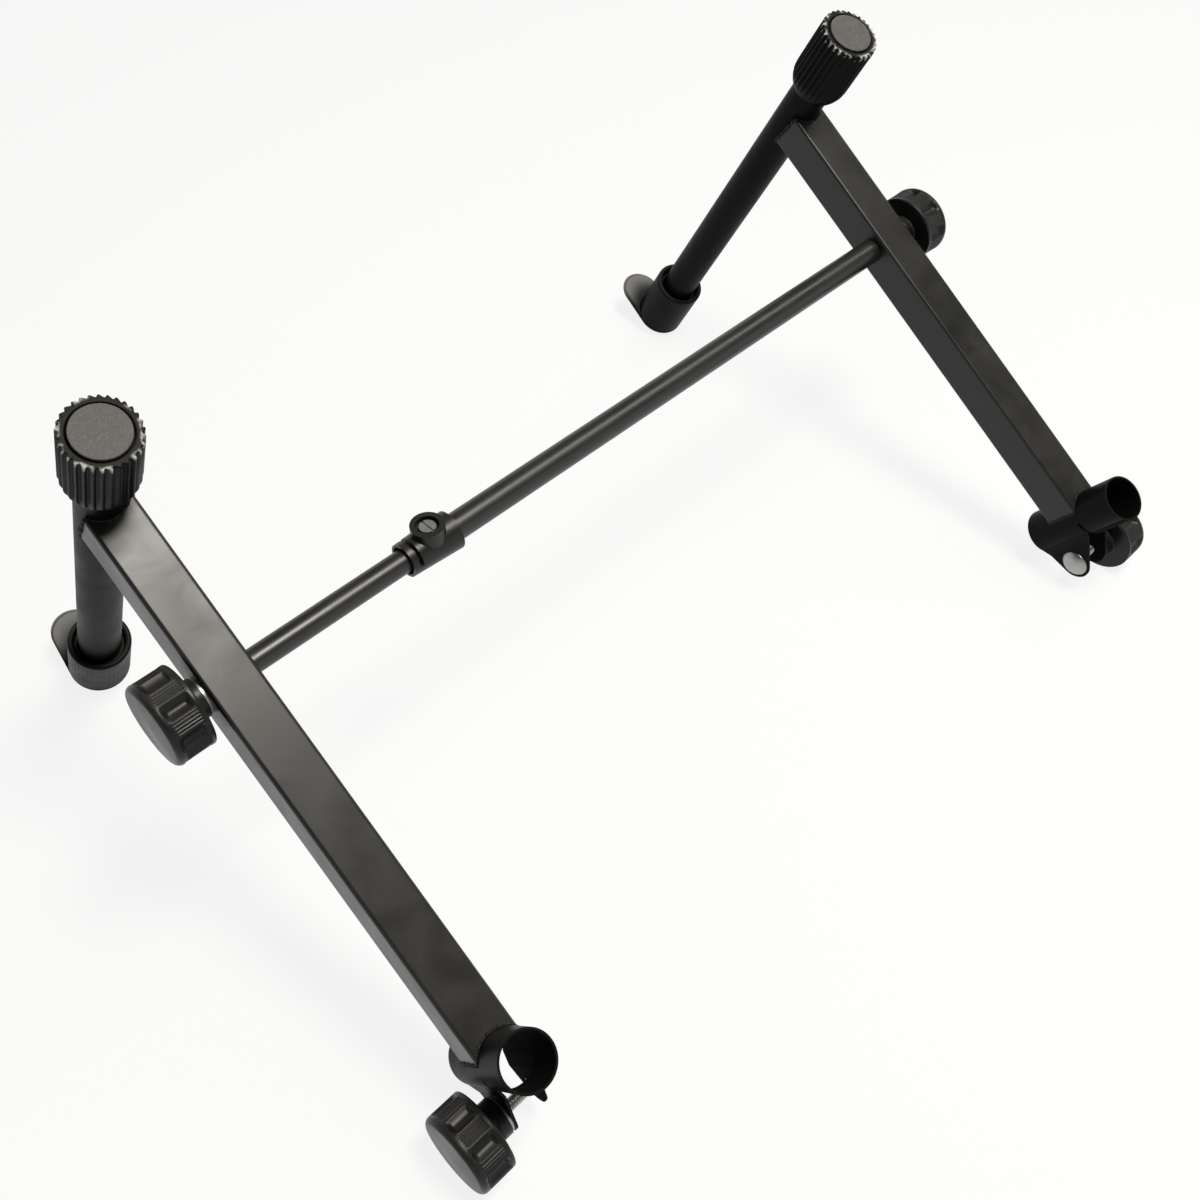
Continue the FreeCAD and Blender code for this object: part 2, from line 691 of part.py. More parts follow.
def build_knob(side, place, face, along, off):
    """Washer, knob and threaded insert, outward from a face of the arm."""
    name = f"{SIDE_NAMES[side]}_{place}"
    outward = turned(across_bar * -side, ACROSS * side)
    washer_foot = face + size["face_gap"]
    washer_hole = "thread_diameter + 2*running_clearance"
    washer = ring(name + "_washer", "washer_diameter", washer_hole, "washer_thickness")
    keep(washer, spot(side, washer_foot, along, off), outward)
    hub_foot = spot(side, washer_foot + size["washer_thickness"] + size["washer_play"], along, off)
    keep(hand_knob(name + "_knob", place + "_hub_length"), hub_foot, outward)
    insert = ring(name + "_knob_insert", "insert_diameter", "thread_diameter + 2*push_clearance",
                  "insert_length - push_clearance")
    keep(insert, hub_foot, outward)


def build_cross_rod():
    """Telescoping rod between the arms, with its studs, locking collar and screw."""
    pivot_along = size["rod_reach"] * math.cos(bar_turn)
    pivot_off = -size["rod_reach"] * math.sin(bar_turn)
    bar_face = size["bar_width"] / 2
    rods = {
        LEFT: ("inner_rod", "inner_rod_diameter", "inner_rod_wall"),
        RIGHT: ("outer_rod", "outer_rod_diameter", "outer_rod_wall"),
    }
    for side, (label, diameter, wall) in rods.items():
        name = SIDE_NAMES[side]
        rod_end = spot(side, -bar_face - size["face_gap"], pivot_along, pivot_off)
        rod = ring(label, diameter, f"{diameter} - 2*{wall}", label + "_length")
        keep(rod, rod_end, turned(UP, ACROSS * -side))
        keep(rod_stud(name + "_rod_stud", diameter, wall), rod_end, turned(UP, ACROSS * side))
        build_knob(side, "arm", bar_face, pivot_along, pivot_off)
    mouth_back = size["outer_rod_length"] + size["collar_length"] - size["collar_socket_depth"]
    mouth = spot(RIGHT, -bar_face - size["face_gap"] - mouth_back, pivot_along, pivot_off)
    keep(locking_collar("lock_collar"), mouth, turned(UP, ACROSS))
    keep(lock_screw("lock_screw"), mouth + ACROSS * size["boss_setback"], turned(ACROSS, UP))


def settle():
    """Put every piece in its place, with the feet on the floor and the stand centred on the origin."""
    doc.recompute()
    for shape, place in pieces:
        shape.Placement = place
    doc.recompute()
    boxes = [shape.Shape.optimalBoundingBox() for shape, place in pieces]
    middle_x = (min(box.XMin for box in boxes) + max(box.XMax for box in boxes)) / 2
    middle_y = (min(box.YMin for box in boxes) + max(box.YMax for box in boxes)) / 2
    floor = min(box.ZMin for box in boxes)
    for shape, place in pieces:
        place.Base = place.Base - FreeCAD.Vector(middle_x, middle_y, floor)
        shape.Placement = place
    doc.recompute()


def export():
    """Check every object, then write one file for each piece."""
    for item in doc.Objects:
        if "Invalid" in item.State or "Error" in item.State:
            raise RuntimeError(f"{item.Label} failed to build")
    for shape, place in pieces:
        if shape.Shape.isNull() or not shape.Shape.isValid() or not shape.Shape.Solids:
            raise RuntimeError(f"{shape.Label} has no sound solid")
    os.makedirs("parts", exist_ok=True)
    for shape, place in pieces:
        shape.Shape.exportStep(os.path.join("parts", shape.Label + ".step"))


for arm_side in (LEFT, RIGHT):
    build_arm(arm_side)
build_cross_rod()
settle()
export()
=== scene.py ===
"""Looks of the second-tier keyboard stand add-on.

The frame is the stand's own: X along the cross rod, Y from the clamp feet to the lip feet, Z up, in metres.
Sizes of single pieces are in millimetres. The moulded and rolled details are surfaces worked out as arrays;
the rest is the CAD itself.
"""
import bpy
import json
import math
import numpy as np
from mathutils import Matrix, Vector


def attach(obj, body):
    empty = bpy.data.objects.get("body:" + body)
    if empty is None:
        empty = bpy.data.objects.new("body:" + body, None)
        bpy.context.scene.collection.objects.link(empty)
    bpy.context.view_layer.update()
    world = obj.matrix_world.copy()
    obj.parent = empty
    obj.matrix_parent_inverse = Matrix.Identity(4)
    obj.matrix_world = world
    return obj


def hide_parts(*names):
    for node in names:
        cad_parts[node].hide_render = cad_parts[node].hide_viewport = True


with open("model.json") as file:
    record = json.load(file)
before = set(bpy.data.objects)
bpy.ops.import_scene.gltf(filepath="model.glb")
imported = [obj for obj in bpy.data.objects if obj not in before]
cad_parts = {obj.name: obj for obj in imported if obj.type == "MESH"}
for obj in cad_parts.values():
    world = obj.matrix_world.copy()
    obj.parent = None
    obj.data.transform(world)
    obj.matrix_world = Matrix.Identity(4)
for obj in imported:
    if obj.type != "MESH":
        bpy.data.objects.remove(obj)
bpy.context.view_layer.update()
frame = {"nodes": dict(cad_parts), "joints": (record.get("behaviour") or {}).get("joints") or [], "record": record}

MM = 0.001
SIDES = {"left": -1, "right": 1}
ACROSS = np.array([1.0, 0.0, 0.0])

# Angle between a support tube and its riser bar
BAR_ANGLE = math.radians(83)

# Sizes shared with the CAD, in millimetres. A reach is measured from where the tube crosses the bar.
BAR_HALF = 16.0
BAR_CORNER = 2.5
ROD_REACH = 123.5
CLAMP_REACH = 394.0
TUBE_RADIUS = 15.0
SLEEVE_RADIUS = 18.0
CAP_REACH = 96.5
LIP_REACH = 307.0
LIP_LENGTH = 59.0
LIP_BARREL = 22.25
TONGUE_TIP = 18.0
TONGUE_CENTRE = 30.5
HUB_LENGTHS = {"arm": 6.5, "clamp": 10.6}
EAR_FACE = 12.5
WASHER_STACK = 1.9
THREAD_RADIUS = 4.0
THREAD_PITCH = 1.25

# Radius of the small disc that closes a turned profile on its axis, in millimetres
CORE = 0.3

# Seeds of the ripples in the weld beads at the two ends of each bar
WELD_SEEDS = {"left": {"tube": 20, "clamp": 21}, "right": {"tube": 25, "clamp": 26}}

record = frame["record"]
joints = {joint["name"]: joint for joint in frame["joints"]}
body_of_node = {node: body for body, nodes in record["behaviour"]["bodies"].items() for node in nodes}
slot_of_node = {part["node"]: part["material_slot"] for part in record["subparts"]}

across_bar = np.array(record["mounts"][0]["axis"], float)
down_bar = np.cross(across_bar, ACROSS)
down_tube = math.cos(BAR_ANGLE) * down_bar + math.sin(BAR_ANGLE) * across_bar
off_tube = math.cos(BAR_ANGLE) * across_bar - math.sin(BAR_ANGLE) * down_bar


def crossing(name):
    """Where an arm's tube axis meets its bar axis, in metres."""
    return np.array(joints[name + "_arm_swing"]["pos_m"], float) - ROD_REACH * MM * down_bar


# Surfaces

def ease(value, low, high):
    """Smooth step from 0 at low to 1 at high."""
    part = np.clip((value - low) / (high - low), 0, 1)
    return part * part * (3 - 2 * part)


def arc(centre, radius, start, end, count):
    """Points of a circular arc in the profile plane, from one angle to another, in degrees."""
    angle = np.radians(np.linspace(start, end, count))
    return np.column_stack([centre[0] + radius * np.cos(angle), centre[1] + radius * np.sin(angle)])


def line(first, last, count):
    """Evenly spaced points from first to last, ends included."""
    return np.linspace(np.array(first, float), np.array(last, float), count)


def full_turn(count, backward=False):
    """Evenly spaced angles once round, in radians."""
    ends = (2 * math.pi, 0) if backward else (0, 2 * math.pi)
    return np.linspace(*ends, count, endpoint=False)


def round_mesh(radius, height, turn):
    """Points of a turned shape: each row is a loop of that radius and height at the given angles."""
    across = radius * np.cos(turn)
    return np.stack([across, radius * np.sin(turn), height + 0 * across], axis=-1)


def grid_faces(shape, looped=False):
    """Quads between neighbours of a grid whose columns close on themselves, and the grid of point numbers.

    Looped rows close on themselves too.
    """
    index = np.arange(shape[0] * shape[1]).reshape(shape[:2])
    lower, upper = (index, np.roll(index, -1, axis=0)) if looped else (index[:-1], index[1:])
    corners = [lower, np.roll(lower, -1, axis=1), np.roll(upper, -1, axis=1), upper]
    return np.stack(corners, axis=-1).reshape(-1, 4).tolist(), index


def piece(name, points, origin, axes, body, slot, attributes=None, looped=False):
    """Mesh of a grid of points, in millimetres along three axes from the origin, that rides on a body.

    The columns close on themselves. Looped rows do so too; otherwise the first and last rows are filled.
    """
    spots = np.asarray(origin) + (points * MM) @ np.array(axes)
    faces, index = grid_faces(points.shape, looped)
    if not looped:
        faces += [index[0][::-1].tolist(), index[-1].tolist()]
    mesh = bpy.data.meshes.new(name)
    mesh.from_pydata(spots.reshape(-1, 3).tolist(), [], faces)
    for label, values in (attributes or {}).items():
        layer = mesh.attributes.new(label, "FLOAT", "POINT")
        layer.data.foreach_set("value", np.ascontiguousarray(values, np.float32).ravel())
    mesh.polygons.foreach_set("use_smooth", np.ones(len(mesh.polygons), bool))
    mesh.update()
    made = bpy.data.objects.new(name, mesh)
    bpy.context.scene.collection.objects.link(made)
    mesh.materials.append(finishes[slot])
    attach(made, body)
    return made


def knob(stem, hub):
    """Hand knob: a turned profile whose radius drops by a parabola in each of eight scallops.

    On the lands between the scallops the radius drops by a fine cosine. Both fade out towards the grip's
    ends. The profile starts in the blind hole for the insert and the thread. Angles are in degrees.
    """
    scallops, half_scallop, scallop_depth = 8, 11.5, 3.2
    ridge_pitch, ridge_depth, land_edge = 4.4, 0.55, 1.2
    thread_hole, insert_hole, hub_radius, grip_radius = 4.6, 7.05, 13, 27
    profile = np.vstack([
        line((CORE, 24), (thread_hole, 24), 2),
        line((thread_hole, 14), (insert_hole, 14), 2),
        line((insert_hole, 0.4), (7.2, 0), 2),
        line((7.6, 0), (12.4, 0), 3),
        arc((12.4, 0.6), 0.6, -90, 0, 4),
        line((hub_radius, 1), (hub_radius, hub - 0.6), 3),
        arc((13.6, hub - 0.6), 0.6, 180, 90, 4),
        line((14.5, hub), (25.2, hub), 5),
        arc((25.8, hub + 1.2), 1.2, -90, 0, 6),
        line((grip_radius, hub + 1.5), (grip_radius, hub + 21), 44),
        arc((23, hub + 21.2), 4, 3, 62, 12),
        line((24.6, hub + 24.85), (CORE, hub + 25.5), 14),
    ])
    turn = full_turn(640)
    step = 360 / scallops
    aside = (np.degrees(turn) + step / 2) % step - step / 2
    dish = np.clip(1 - (aside / half_scallop) ** 2, 0, 1)
    land = ease(np.abs(aside), half_scallop, half_scallop + land_edge)
    ridge = land * 0.5 * (1 + np.cos(2 * math.pi * (np.abs(aside) - step / 2) / ridge_pitch + math.pi))
    radius, height = profile[:, :1], profile[:, 1:]
    grip = height - hub
    deep = ease(grip, 2.4, 6.0) * (1 - ease(grip, 17.0, 21.5))
    fine = ease(grip, 2.6, 3.4) * (1 - ease(grip, 18.5, 20.5))
    outside = ease(radius, 24, 26)
    radius = radius - outside * (scallop_depth * deep * dish + ridge_depth * fine * ridge)
    side = SIDES[stem.split("_")[0]]
    origin = joints[stem + "_knob_turn"]["pos_m"]
    axes = (-side * across_bar, down_bar, side * ACROSS)
    body = body_of_node[stem + "_knob"]
    points = round_mesh(radius, height, turn)
    made = piece(stem + "_knob_grip", points, origin, axes, body, "knob_plastic")
    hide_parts(stem + "_knob")


def ribbed_cap(name):
    """Ribbed sleeve: a turned profile whose radius drops by a rounded saw tooth round the rim.

    The teeth fade out on the tapered tail. The worn attribute is 1 on the tooth tips at the upper edge.
    """
    ribs, tooth_depth, slow_side = 30, 1.6, 0.78
    outer, taper = 22.5, 5.3
    rim_wear = 0.6
    profile = np.vstack([
        line((15.4, 3.0), (17.3, 3.0), 2),
        line((17.4, 2.6), (17.4, 0.9), 3),
        arc((18.3, 0.9), 0.9, 180, 270, 6),
        line((18.6, 0), (21.2, 0), 8),
        arc((21.4, 1.1), 1.1, -90, 0, 8),
        line((outer, 1.6), (outer, 45), 30),
        np.column_stack([outer - taper * np.linspace(0, 1, 16) ** 2, np.linspace(46, 61, 16)]),
        line((16.6, 61.8), (15.2, 61.9), 4),
    ])
    turn = full_turn(ribs * 16)
    tooth = (turn * ribs / (2 * math.pi)) % 1
    drop = np.where(tooth < slow_side, tooth / slow_side, (1 - tooth) / (1 - slow_side))
    drop = drop * drop * (3 - 2 * drop)
    radius, height = profile[:, :1], profile[:, 1:]
    fade = ease(radius, 19.8, 21.6) * (1 - ease(height, 48, 57))
    rim = rim_wear * ease(radius, 18.6, 20.5) * (1 - ease(height, 0.1, 0.8))
    tips = (1 - drop) ** 2 * ease(radius, 20.0, 21.8) * (1 - ease(height, 0.6, 6.0))
    radius = radius - tooth_depth * fade * drop
    origin = crossing(name) - CAP_REACH * MM * down_tube
    points = round_mesh(radius, height, turn)
    axes = (ACROSS, -off_tube, down_tube)
    body = body_of_node[name + "_ribbed_cap"]
    made = piece(name + "_ribbed_sleeve", points, origin, axes, body, "cap_rubber",
                 {"worn": np.maximum(tips, rim)}, looped=True)
    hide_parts(name + "_ribbed_cap")


def tongue_outline(turn):
    """Distance from the cap's axis to the hull of its barrel and the tongue's round tip.

    It is read off the hull's points by their angle off the tongue, and is the barrel's radius behind them.
    """
    slope = math.asin((LIP_BARREL - TONGUE_TIP) / TONGUE_CENTRE)
    round_tip = np.linspace(-math.pi / 2 + slope, math.pi / 2 - slope, 90)
    side = round_tip[-1]
    flank = np.linspace(0, 1, 30)[1:, None]
    start = np.array([TONGUE_TIP * math.sin(side), TONGUE_CENTRE + TONGUE_TIP * math.cos(side)])
    end = np.array([LIP_BARREL * math.sin(side), LIP_BARREL * math.cos(side)])
    right = start + flank * (end - start)
    across = np.concatenate([TONGUE_TIP * np.sin(round_tip), right[:, 0]])
    along = np.concatenate([TONGUE_CENTRE + TONGUE_TIP * np.cos(round_tip), right[:, 1]])
    angle = np.arctan2(np.abs(across), along)
    order = np.argsort(angle)
    away = np.abs((turn + math.pi) % (2 * math.pi) - math.pi)
    hull = np.interp(away, angle[order], np.hypot(across, along)[order])
    return np.where(away < side, hull, LIP_BARREL)


def lip_cap(name):
    """Lip cap: rows run up the bore, over the rim, down the fluted barrel and out over the tongue to the end.

    Each row's radius is the barrel's plus a share of the way out to the tongue's outline; the share is given
    with its points. The flutes are a squared cosine. The pale attribute rises towards the tongue's tip: partly
    where keyboards have rubbed it, partly a painted reflection of the lamp on the tongue's top.
    """
    barrel, end = LIP_BARREL, LIP_LENGTH
    bore, mouth = 15.05, 17.9
    fillet, edge = 1.85, 4.5
    flutes, flute_depth = 40, 0.18
    # Greatest share of the pale colour on the tongue: partly rubbed rubber, partly painted reflection
    most_rub_and_reflection = 0.65
    runs = [
        (line((CORE, 53), (bore, 53), 3), 0),
        (line((bore, 52), (bore, 9), 3), 0),
        (line((bore, 8), (17.6, 8), 3), 0),
        (line((mouth, 7.4), (mouth, 2.6), 4), 0),
        (arc((20.0, 2.3), 2.2, 180, 360, 14), 0),
        (line((barrel, 3.5), (barrel, 50.0), 30), 0),
        (line((barrel, 50.9), (barrel, 52.0), 5), np.linspace(0, 0.06, 5) ** 1.3),
        (line((barrel, 52.1), (barrel, 52.5), 16), np.linspace(0.06, 0.93, 16)),
        (arc((barrel, 54.4), fillet, -90, 0, 8) - [[fillet, 0]], np.linspace(0.95, 1, 8)),
        (arc((barrel - edge, end - edge), edge, 0, 90, 12), 1),
        (line((barrel - 6, end), (CORE, end), 10), np.linspace(0.9, 0, 10)),
    ]
    profile = np.vstack([points for points, part in runs])
    share = np.concatenate([np.broadcast_to(part, len(points)) for points, part in runs])[:, None]
    turn = full_turn(320)
    reach = tongue_outline(turn) - barrel
    radius, height = profile[:, :1], profile[:, 1:]
    flute = ease(height, 4, 7) * (1 - ease(height, 46, 50)) * ease(radius, 21.5, 22.2)
    radius = radius + share * reach - flute_depth * flute * (0.5 + 0.5 * np.cos(flutes * turn)) ** 2
    # Pale towards the tongue's tip: partly rubbed rubber, partly a painted reflection of the lamp
    pale = most_rub_and_reflection * ease(share, 0.1, 0.9) * ease(reach, 4, 24) * (1 - ease(height, 53.5, 56))
    origin = crossing(name) + (LIP_REACH - LIP_LENGTH) * MM * down_tube
    points = round_mesh(radius, height, turn)
    axes = (off_tube, ACROSS, down_tube)
    body = body_of_node[name + "_lip_cap"]
    made = piece(name + "_lip_mould", points, origin, axes, body, "cap_rubber", {"pale": pale})
    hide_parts(name + "_lip_cap")


def clamp_bolt(name):
    """Dome-headed bolt: a spherical head, a square neck, and a shank whose radius follows a triangle wave.

    The wave runs along the axis and shifts by one pitch per turn, which makes it a helix.
    """
    head, dome, length = 11.0, 5.0, 46.0
    neck_length, neck_corner = 1.5, 5.2
    thread_depth = 0.62
    ball = (head ** 2 + dome ** 2) / (2 * dome)
    sweep = math.degrees(math.asin(head / ball))
    profile = np.vstack([
        arc((0, ball - dome), ball, -89.5, -90 + sweep, 16),
        line((head, 0.1), (6.5, 0.1), 3),
        line((6.0, 0.15), (6.0, neck_length), 3),
        line((THREAD_RADIUS, neck_length + 0.1), (THREAD_RADIUS, length - 1), 230),
        line((THREAD_RADIUS - 0.2, length - 0.7), (3.0, length), 3),
    ])
    turn = full_turn(40)
    radius, height = profile[:, :1], profile[:, 1:]
    square = THREAD_RADIUS / np.maximum(np.abs(np.cos(turn)), np.abs(np.sin(turn)))
    on_neck = (height > 0.12) & (height <= neck_length)
    wave = np.abs(2 * ((height / THREAD_PITCH - turn / (2 * math.pi)) % 1) - 1)
    thread = ease(height, neck_length + 0.1, neck_length + 1.2)
    thread = thread * (1 - ease(height, length - 1.6, length - 0.8))
    shank = radius - thread_depth * thread * wave
    radius = np.where(on_neck, np.minimum(square, neck_corner), shank)
    side = SIDES[name]
    back = 2 * EAR_FACE + WASHER_STACK
    origin = np.array(joints[name + "_clamp_knob_turn"]["pos_m"]) - side * back * MM * ACROSS
    axes = (-side * across_bar, down_bar, side * ACROSS)
    body = body_of_node[name + "_clamp_bolt"]
    points = round_mesh(radius, height, turn)
    made = piece(name + "_clamp_screw", points, origin, axes, body, "zinc_steel")
    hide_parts(name + "_clamp_bolt")


def bar_outline(count):
    """Points round the bar's section, a square with rounded corners, as (across, over) in millimetres.

    They are spread evenly by the length gone round the outline.
    """
    corner = BAR_HALF - BAR_CORNER
    loop = np.vstack([arc((sx * corner, sy * corner), BAR_CORNER, start, start + 90, 10)
                      for sx, sy, start in ((1, 1, 0), (-1, 1, 90), (-1, -1, 180), (1, -1, 270))])
    loop = np.vstack([loop, loop[:1]])
    gone = np.concatenate([[0], np.cumsum(np.hypot(*np.diff(loop, axis=0).T))])
    spread = np.linspace(0, gone[-1], count, endpoint=False)
    return np.column_stack([np.interp(spread, gone, loop[:, column]) for column in (0, 1)])


def weld_bead(name, place, seed):
    """Weld bead: a tube along the seam where the bar's outline meets a round tube, thick and thin in ripples.

    The seam's height up the bar is where the outline's point lies on the tube's cylinder. The bead's radius
    is a mean plus a wavering cosine and a sum of slower ones, and its section is a little taller than wide.
    """
    count, sides = 420, 14
    mean, thinnest, thickest, tall = 1.05, 0.6, 1.7, 1.15
    ripples, ripple_share, lump_share = 64, 0.2, 0.7
    loop = bar_outline(count)
    across, over = loop[:, 0], loop[:, 1]
    if place == "clamp":
        height = CLAMP_REACH - np.sqrt(np.maximum(SLEEVE_RADIUS ** 2 - across ** 2, 0))
    else:
        rise = np.sqrt(np.maximum(TUBE_RADIUS ** 2 - across ** 2, 0)) + 0.4
        height = np.maximum((rise - over * math.cos(BAR_ANGLE)) / math.sin(BAR_ANGLE), 6.0)
    rng = np.random.default_rng(seed)
    along = full_turn(count)
    ripple = np.cos(ripples * along + 1.5 * np.cos(9 * along + rng.uniform(0, 6)))
    lumps = sum(rng.uniform(0.1, 0.25) * np.cos(k * along + rng.uniform(0, 6)) for k in (5, 11, 17, 23, 31))
    thick = np.clip(mean + ripple_share * ripple + lump_share * lumps, thinnest, thickest)[:, None]
    centre = np.column_stack([across, over, height])
    outward = np.column_stack([across, over, 0 * across])
    outward /= np.linalg.norm(outward, axis=1)[:, None]
    upward = np.array([0.0, 0.0, 1.0])
    turn = full_turn(sides, backward=True)
    points = (centre[:, None] + (thick * np.cos(turn))[..., None] * outward[:, None]
              + (tall * thick * np.sin(turn))[..., None] * upward)
    axes = (ACROSS, -across_bar, down_bar)
    piece(f"{name}_{place}_weld", points, crossing(name), axes, name + "_arm", "weld", looped=True)


# Finishes

# Colours of dust, and of the lip caps' pale tongues: rubber that keyboards have rubbed, with a painted reflection
DUST = (0.34, 0.32, 0.29)
RUB_AND_REFLECTION_TINT = (0.3, 0.3, 0.29)

# Sockets of a Mix node that are used for colours
MIX_FIRST, MIX_SECOND, MIX_RESULT = 6, 7, 2


def put(tree, kind, values=None, **settings):
    """New node of a tree; values, plain or as sockets to link from, go to its inputs by name or number."""
    made = tree.nodes.new(kind)
    for key, value in settings.items():
        setattr(made, key, value)
    for key, value in (values or {}).items():
        if isinstance(value, bpy.types.NodeSocket):
            tree.links.new(value, made.inputs[key])
        else:
            made.inputs[key].default_value = value
    return made


def reckon(tree, operation, *values):
    """Result of arithmetic on numbers or sockets."""
    return put(tree, "ShaderNodeMath", dict(enumerate(values)), operation=operation).outputs["Value"]


def reckon_vector(tree, operation, *values):
    """Result of arithmetic on vectors or sockets, which for a length or a dot product is a number."""
    made = put(tree, "ShaderNodeVectorMath", dict(enumerate(values)), operation=operation)
    return made.outputs["Value" if operation in ("LENGTH", "DOT_PRODUCT") else "Vector"]


def remap(tree, value, low=0.0, high=1.0, start=0.0, end=1.0):
    """Value taken from the range low to high to the range start to end, and held at its ends."""
    values = {"Value": value, "From Min": low, "From Max": high, "To Min": start, "To Max": end}
    return put(tree, "ShaderNodeMapRange", values).outputs["Result"]


def noise(tree, place, scale, detail, roughness=0.5, distortion=0.0):
    """Noise from 0 to 1 at a place."""
    values = {"Vector": place, "Scale": scale, "Detail": detail, "Roughness": roughness,
              "Distortion": distortion}
    return put(tree, "ShaderNodeTexNoise", values).outputs["Fac"]


def blend(tree, mask, first, second):
    """Colour between two others by a mask; each is a plain colour or a socket."""
    first, second = (colour if isinstance(colour, bpy.types.NodeSocket) else (*colour, 1)
                     for colour in (first, second))
    values = {0: mask, MIX_FIRST: first, MIX_SECOND: second}
    return put(tree, "ShaderNodeMix", values, data_type="RGBA").outputs[MIX_RESULT]


def new_group(name, inputs, outputs):
    """Empty shader group with float inputs and the given outputs, and the sockets of its inputs."""
    tree = bpy.data.node_groups.new(name, "ShaderNodeTree")
    for label, value in inputs.items():
        tree.interface.new_socket(label, in_out="INPUT", socket_type="NodeSocketFloat").default_value = value
    for label, kind in outputs.items():
        tree.interface.new_socket(label, in_out="OUTPUT", socket_type=kind)
    return tree, put(tree, "NodeGroupInput").outputs


def grain_group():
    """Fine skin of a coat or moulding: a bumped normal and the grain itself as a value."""
    tree, given = new_group("skin_grain", {"Scale": 900.0, "Height": 0.00004},
                            {"Normal": "NodeSocketVector", "Grain": "NodeSocketFloat"})
    place = put(tree, "ShaderNodeTexCoord").outputs["Object"]
    grain = noise(tree, place, given["Scale"], 3.0, roughness=0.55)
    bump = put(tree, "ShaderNodeBump", {"Height": grain, "Distance": given["Height"], "Strength": 1.0})
    put(tree, "NodeGroupOutput", {"Normal": bump.outputs["Normal"], "Grain": grain})
    return tree


def patch_group():
    """Handling marks: clouds mapped between two values, and masks of rubbed streaks, worn patches and dust.

    The dust lies on faces that look up, thicker in the clouds.
    """
    tree, given = new_group("handling",
                            {"Scale": 22.0, "Low": 0.3, "High": 0.45, "Streaks": 0.3, "Dust": 0.1},
                            {label: "NodeSocketFloat" for label in ("Cloud", "Rub", "Patch", "Film")})
    streak_turn, streak_scale = (0.4, 0.2, 0.7), (90.0, 700.0, 700.0)
    patch_scale = 140.0
    spot = put(tree, "ShaderNodeTexCoord")
    place = spot.outputs["Object"]
    cloud = noise(tree, place, given["Scale"], 4.0, distortion=0.6)
    spread = remap(tree, cloud, 0.3, 0.7, given["Low"], given["High"])
    long_way = put(tree, "ShaderNodeMapping",
                   {"Vector": place, "Rotation": streak_turn, "Scale": streak_scale})
    streak = noise(tree, long_way.outputs["Vector"], 1.0, 2.0)
    rub = remap(tree, streak, 0.66, 0.74, 0.0, given["Streaks"])
    patch = remap(tree, noise(tree, place, patch_scale, 2.0), 0.42, 0.62)
    upward = put(tree, "ShaderNodeSeparateXYZ", {"Vector": spot.outputs["Normal"]})
    lying = remap(tree, upward.outputs["Z"], 0.6, 0.95)
    film = reckon(tree, "MULTIPLY", reckon(tree, "MULTIPLY", lying, given["Dust"]), cloud)
    put(tree, "NodeGroupOutput", {"Cloud": spread, "Rub": rub, "Patch": patch, "Film": film})
    return tree


def bore_group():
    """Inside of the clamp sleeves, where the coat is thin and dull: a roughness that rises there.

    It rises within the bores and, on the side of the ears, between the two ears, which draw together from the
    sleeve's width. The left sleeve is folded on the right one by the absolute X.
    """
    tree, given = new_group("bore_coat", {"Roughness": 0.35}, {"Roughness": "NodeSocketFloat"})
    mount = record["mounts"][1]
    sleeve_reach = 60 * MM
    bore = (mount["dims"]["r_mm"] + 0.4) * MM
    ears_from, ears_drawn = 3 * MM, 18 * MM
    sleeve_half, ears_half = 17.2 * MM, (EAR_FACE - 0.8) * MM
    dull = 0.95
    place = put(tree, "ShaderNodeTexCoord").outputs["Object"]
    split = put(tree, "ShaderNodeSeparateXYZ", {"Vector": place}).outputs
    folded = put(tree, "ShaderNodeCombineXYZ", {"X": reckon(tree, "ABSOLUTE", split["X"]),
                                                "Y": split["Y"], "Z": split["Z"]})
    off = reckon_vector(tree, "SUBTRACT", folded.outputs["Vector"], mount["pos_m"])
    near = reckon(tree, "LESS_THAN", reckon_vector(tree, "LENGTH", off), sleeve_reach)
    across = reckon_vector(tree, "CROSS_PRODUCT", off, mount["axis"])
    in_bore = reckon(tree, "LESS_THAN", reckon_vector(tree, "LENGTH", across), bore)
    below = reckon_vector(tree, "DOT_PRODUCT", off, down_bar)
    lower = reckon(tree, "GREATER_THAN", below, ears_from)
    half_gap = remap(tree, below, 0.0, ears_drawn, sleeve_half, ears_half)
    sideways = put(tree, "ShaderNodeSeparateXYZ", {"Vector": off}).outputs["X"]
    narrow = reckon(tree, "COMPARE", sideways, 0.0, half_gap)
    eared = reckon(tree, "MULTIPLY", lower, narrow)
    inside = reckon(tree, "MULTIPLY", near, reckon(tree, "MAXIMUM", in_bore, eared))
    put(tree, "NodeGroupOutput", {"Roughness": remap(tree, inside, start=given["Roughness"], end=dull)})
    return tree


grain_tree = grain_group()
patch_tree = patch_group()
bore_tree = bore_group()


